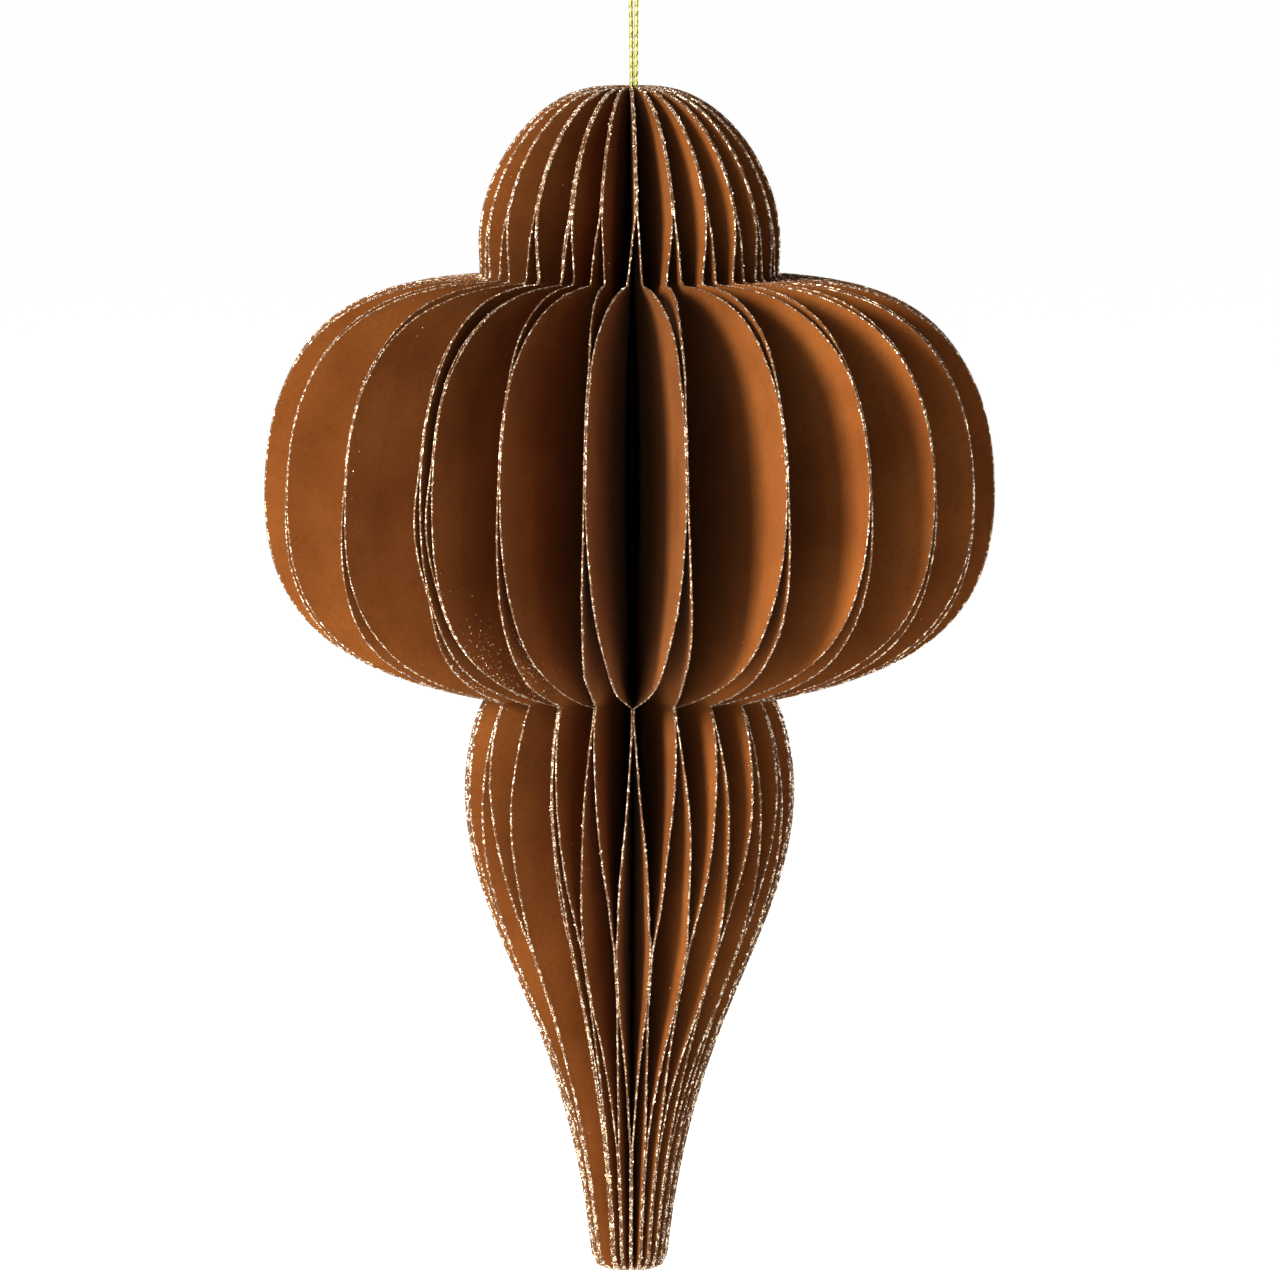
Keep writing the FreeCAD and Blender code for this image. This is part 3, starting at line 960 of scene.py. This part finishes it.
@dataclass
class Fan:
    """All the card of the finial: leaves glued in pairs and two covers of two plies each."""

    gluing: Gluing
    joints: Joints = field(default_factory=Joints)
    leaves: list[Leaf] = field(default_factory=list)

    def plan(self) -> None:
        """Lay out every sheet of card, from the right cover round the back to the left cover.

        Leaves 2n and 2n + 1 meet at the tip, the waist and the dome. Leaves 2n - 1 and 2n meet in
        the drop and the bulb.
        """
        half = self.gluing.pitch / 2
        rings = self.joints.rings()
        count = 2 * self.joints.pairs
        last = self.gluing.plies - 1
        swell = self.gluing.pocket_swell
        for leaf in range(count):
            odd = leaf % 2
            angles = [ring[leaf // 2] if number % 2 == 0 else ring[(leaf + 1) // 2]
                      for number, ring in enumerate(rings)]
            sides = [half if odd == (number % 2 == 0) else -half for number in range(len(rings))]
            if leaf == 0:
                outer = [-3 * half if number % 2 == 0 else -half for number in range(len(rings))]
                self.add("cover_right_outer", 0, angles, outer, True, -swell)
                self.add("cover_right_inner", 1, angles, sides, True)
            elif leaf == count - 1:
                outer = [3 * half if number % 2 == 0 else half for number in range(len(rings))]
                flap = [*angles[:2], self.joints.left_flap_waist + FULL_TURN, *angles[3:]]
                self.add("cover_left_inner", last - 1, angles, sides, True, -swell)
                self.add("cover_left_outer", last, flap, outer, True)
            else:
                self.add(f"leaf_{leaf:02d}", leaf + 1, angles, sides, False)

    def add(self, name: str, place: int, angles: list[float], sides: list[float], cover: bool,
            swell: float = 0.0) -> None:
        """Add one sheet of card to the plan."""
        self.leaves.append(Leaf(name, place, angles, sides, self.gluing, cover, swell))

    def build(self) -> None:
        """Make every sheet and let it stand for its node."""
        card = CardFinish().build()
        crust = CrustFinish().build()
        for leaf in self.leaves:
            piece = leaf.build(card, crust)
            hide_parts(leaf.name)
            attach(piece, BODY)
            LOG.info("%s: %d faces", piece.name, len(piece.data.polygons))


@dataclass
class Glitter:
    """Loose glitter grains on the cut edges and scattered over the faces."""

    fan: Fan
    seed: int = 11
    spacing: float = 0.40
    bulb_share: float = 0.75
    edge_depth: float = 0.20
    edge_overhang: float = 0.18
    edge_across: float = 0.20
    face_lift: float = 0.04
    scatter: int = 20
    scatter_reach: float = 3.2
    scatter_limit: float = 24.0
    spill: int = 520
    spill_leaves: tuple = ("cover_left_inner", "cover_right_inner", "leaf_01")
    spill_middle: float = 21.0
    spill_spread: float = 7.5
    spill_foot: float = 1.0
    spill_start: float = 0.2
    spill_reach: float = 6.0
    smallest: float = 0.08
    largest: float = 0.21
    leanest: float = 0.55

    def finishes(self) -> dict[Grain, GrainFinish]:
        """The finish of each grain colour.

        Returns:
            The finishes, in the order of the colours.
        """
        return {
            Grain.CHAMPAGNE: GrainFinish("grain_champagne", (0.93, 0.83, 0.64), (0.76, 0.61, 0.38)),
            Grain.SILVER: GrainFinish("grain_silver", (0.95, 0.93, 0.88), (0.76, 0.73, 0.66)),
            Grain.COPPER: GrainFinish("grain_copper", (0.88, 0.56, 0.34), (0.62, 0.34, 0.17)),
        }

    def places(self, rng: np.random.Generator) -> Points:
        """Centres of all grains.

        Args:
            rng: Source of random numbers.

        Returns:
            Points in millimetres.
        """
        places = []
        outline = self.fan.gluing.outline
        whole = outline.line[-1, 2]
        count = int(whole / self.spacing)
        face = self.fan.gluing.thickness / 2 + self.face_lift
        waist, neck = outline.length_at(outline.waist), outline.length_at(outline.neck)
        for leaf in self.fan.leaves:
            length = rng.uniform(0.0, whole, count)
            length = length[(rng.random(count) < self.bulb_share) | (length < waist) | (length > neck)]
            depth = self.edge_depth * rng.uniform(-self.edge_overhang, 1.0, len(length))
            across = rng.uniform(-self.edge_across, self.edge_across, len(length))
            stray = rng.uniform(0.0, whole, self.scatter)
            far = np.minimum(rng.exponential(self.scatter_reach, self.scatter), self.scatter_limit)
            if leaf.name in self.spill_leaves:
                low = rng.normal(waist + self.spill_middle, self.spill_spread, self.spill)
                deep = np.abs(rng.normal(0.0, self.spill_reach, self.spill))
                stray = np.append(stray, np.clip(low, waist + self.spill_foot, None))
                far = np.append(far, self.spill_start + deep)
            length, depth = np.append(length, stray), np.append(depth, far)
            across = np.append(across, face * rng.choice([-1.0, 1.0], len(stray)))
            spots = leaf.surface(length, leaf.inset(length, depth), across)
            inside = (spots[:, 2] > outline.tip) & (spots[:, 2] < outline.crown)
            places.append(spots[inside])
        return np.concatenate(places)

    def build(self) -> None:
        """Make one piece for each colour of grain."""
        rng = np.random.default_rng(self.seed)
        places = self.places(rng)
        kinds = rng.choice(len(Grain), len(places), p=[grain.value for grain in Grain])
        for number, (grain, finish) in enumerate(self.finishes().items()):
            piece = self.grains("glitter_" + grain.name.lower(), places[kinds == number], rng)
            piece.data.materials.append(finish.build())
            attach(piece, BODY)
            LOG.info("%s: %d grains", piece.name, int((kinds == number).sum()))

    def grains(self, name: str, places: Points, rng: np.random.Generator) -> bpy.types.Object:
        """Small four-sided crumbs at given places.

        Args:
            name: Name of the piece.
            places: Centres in millimetres.
            rng: Source of random numbers.

        Returns:
            The piece.
        """
        count = len(places)
        corners = np.array([(1, 1, 1), (1, -1, -1), (-1, 1, -1), (-1, -1, 1)], float) / math.sqrt(3)
        size = rng.uniform(self.smallest, self.largest, (count, 1, 1))
        size = size * rng.uniform(self.leanest, 1.0, (count, 4, 1))
        turn = rng.normal(size=(count, 4))
        turn /= np.linalg.norm(turn, axis=1)[:, None]
        w, x, y, z = turn.T
        rotation = np.stack([
            1 - 2 * (y * y + z * z), 2 * (x * y - z * w), 2 * (x * z + y * w),
            2 * (x * y + z * w), 1 - 2 * (x * x + z * z), 2 * (y * z - x * w),
            2 * (x * z - y * w), 2 * (y * z + x * w), 1 - 2 * (x * x + y * y)], axis=1).reshape(-1, 3, 3)
        points = places[:, None, :] + np.einsum("nij,kj->nki", rotation, corners) * size
        faces = np.array([(0, 2, 1), (0, 1, 3), (0, 3, 2), (1, 2, 3)])
        faces = (np.arange(count)[:, None, None] * 4 + faces[None]).reshape(-1, 3)
        mesh = bpy.data.meshes.new(name)
        mesh.from_pydata((points.reshape(-1, 3) * MM).tolist(), [], faces.tolist())
        mesh.update()
        return in_scene(name, mesh)


@dataclass
class HangingCord:
    """Gold cord: from the knot in the spine up, round the loop and down again."""

    diameter: float = 0.7
    length: float = 129.0
    lobe_depth: float = 0.20
    twist_pitch: float = 1.7
    ring: int = 18
    step: float = 0.12
    route_order: int = 3
    route_fine: int = 24
    points: tuple = (
        (0.37, 0.0, -63.0),
        (0.37, 0.0, -50.5),
        (-0.05, 0.0, -35.0),
        (-1.5, 0.0, -19.0),
        (-3.0, 0.0, -7.0),
        (-2.1, 0.0, 0.35),
        (2.1, 0.0, 0.35),
        (3.1, 0.0, -7.0),
        (2.1, 0.0, -18.0),
        (1.3, 0.0, -34.0),
        (1.13, 0.0, -49.5),
        (1.13, 0.0, -63.0),
    )

    def route(self) -> Points:
        """Points along the smooth line of the cord.

        Returns:
            Points in metres, evenly spaced.
        """
        data = bpy.data.curves.new("cord_route", "CURVE")
        data.dimensions = "3D"
        data.resolution_u = self.route_fine
        spline = data.splines.new("NURBS")
        spline.points.add(len(self.points) - 1)
        for point, place in zip(spline.points, self.points):
            point.co = (*[value * MM for value in place], 1.0)
        spline.order_u = self.route_order
        spline.use_endpoint_u = True
        holder = in_scene("cord_route", data)
        line = bpy.data.meshes.new_from_object(holder)
        route = np.array([vertex.co for vertex in line.vertices])
        bpy.data.objects.remove(holder)
        bpy.data.curves.remove(data)
        bpy.data.meshes.remove(line)
        length = run_of(route)
        even = np.linspace(0.0, length[-1], int(length[-1] / (self.step * MM)))
        return np.stack([np.interp(even, length, route[:, axis]) for axis in range(3)], axis=1)

    def build(self) -> None:
        """Make the twisted cord along its route."""
        route = self.route()
        along = np.gradient(route, axis=0)
        along /= np.linalg.norm(along, axis=1)[:, None]
        across = np.tile([0.0, 1.0, 0.0], (len(route), 1))
        third = np.cross(along, across)
        length = run_of(route)
        turn = np.linspace(0.0, 2 * math.pi, self.ring, endpoint=False)
        spin = 2 * math.pi * length / (self.twist_pitch * MM)
        facing = np.cos(turn[None] - spin[:, None])
        radius = self.diameter / 2 * MM * (1 - self.lobe_depth + self.lobe_depth * np.abs(facing))
        points = (route[:, None] + (np.cos(turn)[None, :, None] * across[:, None]
                  + np.sin(turn)[None, :, None] * third[:, None]) * radius[..., None])
        strand = facing[:-1] + np.roll(facing, -1, axis=1)[:-1] < 0
        gold = CordFinish().build()
        olive = CordFinish("olive_yarn", bright=(0.34, 0.33, 0.06), deep=(0.09, 0.09, 0.015)).build()
        piece = tube("gold_cord", points, strand, 0, (gold, olive))
        self.declare(piece)
        LOG.info("%s: %.1f mm long", piece.name, length[-1] / MM)

    def declare(self, piece: bpy.types.Object) -> None:
        """Hide the node that the cord stands for and attach the cord to the body.

        Args:
            piece: The cord.
        """
        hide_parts("hanging_loop")
        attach(piece, BODY)


@dataclass
class HiddenParts:
    """Spine strip, magnets and knot, which keep their own meshes."""

    def dress(self) -> None:
        """Give each node its material."""
        finishes = {
            "spine_strip": BindingFinish().build(),
            "cord_knot": CordFinish(name="gold_yarn_knot").build(),
        }
        finishes["magnet_right"] = finishes["magnet_left"] = MagnetFinish().build()
        for node, material in finishes.items():
            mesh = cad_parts[node].data
            mesh.materials.clear()
            mesh.materials.append(material)
            LOG.info("%s: dressed", node)


@dataclass(frozen=True)
class Lamp:
    """An area light, with its place from the middle of the piece in metres and its power in watts."""

    name: str
    place: tuple[float, float, float]
    width: float
    power: float


@dataclass
class Studio:
    """Pale floor, soft key from the left front, weak fill, small lights for the glitter, camera."""

    distance: float = 4.0
    elevation: float = 4.15
    view_width: float = 0.2159
    sensor: float = 36.0
    aim: Sequence[float] = (0.00177, 0.0, -0.1515)
    floor_drop: float = 0.09
    floor_reach: float = 14.0
    sky_strength: float = 0.16
    display_gamma: float = 0.82
    lamps: Sequence[Lamp] = (
        Lamp("key", (-0.88, -1.14, 0.38), 0.44, 45.0),
        Lamp("crown_light", (-0.25, 0.15, 0.95), 0.5, 5.0),
        Lamp("edge_light", (0.9, 0.45, 0.15), 0.35, 6.0),
        Lamp("spark_0", (-0.5, -1.5, 0.5), 0.03, 1.5),
        Lamp("spark_1", (0.6, -1.4, 0.2), 0.03, 1.5),
        Lamp("spark_2", (0.1, -1.6, -0.6), 0.03, 1.5),
    )

    def build(self) -> None:
        """Make the floor, the lights, the sky and the camera."""
        self.floor()
        self.sky()
        self.lights()
        self.camera()

    def floor(self) -> None:
        """A wide pale floor under the hanging piece."""
        low = CAD_BOX[0][2] - self.floor_drop
        reach = self.floor_reach
        mesh = bpy.data.meshes.new("floor")
        corners = [(-reach, -reach, low), (reach, -reach, low), (reach, reach, low), (-reach, reach, low)]
        mesh.from_pydata(corners, [], [(0, 1, 2, 3)])
        mesh.materials.append(FloorFinish().build())
        piece = in_scene("floor", mesh)

    def sky(self) -> None:
        """Even pale light from all round, and how the picture is shown."""
        world = bpy.data.worlds.new("studio")
        world.use_nodes = True
        back = world.node_tree.nodes["Background"]
        back.inputs["Color"].default_value = (1.0, 1.0, 1.0, 1.0)
        back.inputs["Strength"].default_value = self.sky_strength
        bpy.context.scene.world = world
        display = bpy.context.scene.view_settings
        display.view_transform = "Standard"
        display.gamma = self.display_gamma

    def lights(self) -> None:
        """Set up the lamps."""
        for lamp in self.lamps:
            data = bpy.data.lights.new(lamp.name, "AREA")
            data.size = lamp.width
            data.energy = lamp.power
            place = [aim + offset for aim, offset in zip(self.aim, lamp.place)]
            self.point(in_scene(lamp.name, data), place)

    def point(self, item: bpy.types.Object, place: Sequence[float]) -> None:
        """Put a light or the camera at a place, facing the middle of the piece."""
        item.location = place
        item.rotation_euler = (Vector(self.aim) - Vector(place)).to_track_quat("-Z", "Y").to_euler()

    def camera(self) -> None:
        """The camera at the photograph's angle."""
        data = bpy.data.cameras.new("camera")
        data.sensor_width = self.sensor
        data.lens = self.sensor * self.distance / self.view_width
        view = in_scene("camera", data)
        tilt = math.radians(self.elevation)
        self.point(view, (self.aim[0], self.aim[1] - self.distance * math.cos(tilt),
                          self.aim[2] + self.distance * math.sin(tilt)))
        bpy.context.scene.camera = view


def main() -> None:
    """Build the finial and the studio."""
    logging.basicConfig(level=logging.INFO, format="%(message)s")
    low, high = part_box("leaf_01")
    outline = Outline(crown=high[2] / MM, tip=low[2] / MM)
    fan = Fan(Gluing(outline))
    fan.plan()
    Studio().build()
    HangingCord().build()
    fan.build()
    Glitter(fan).build()
    HiddenParts().dress()


if __name__ == "__main__":
    main()
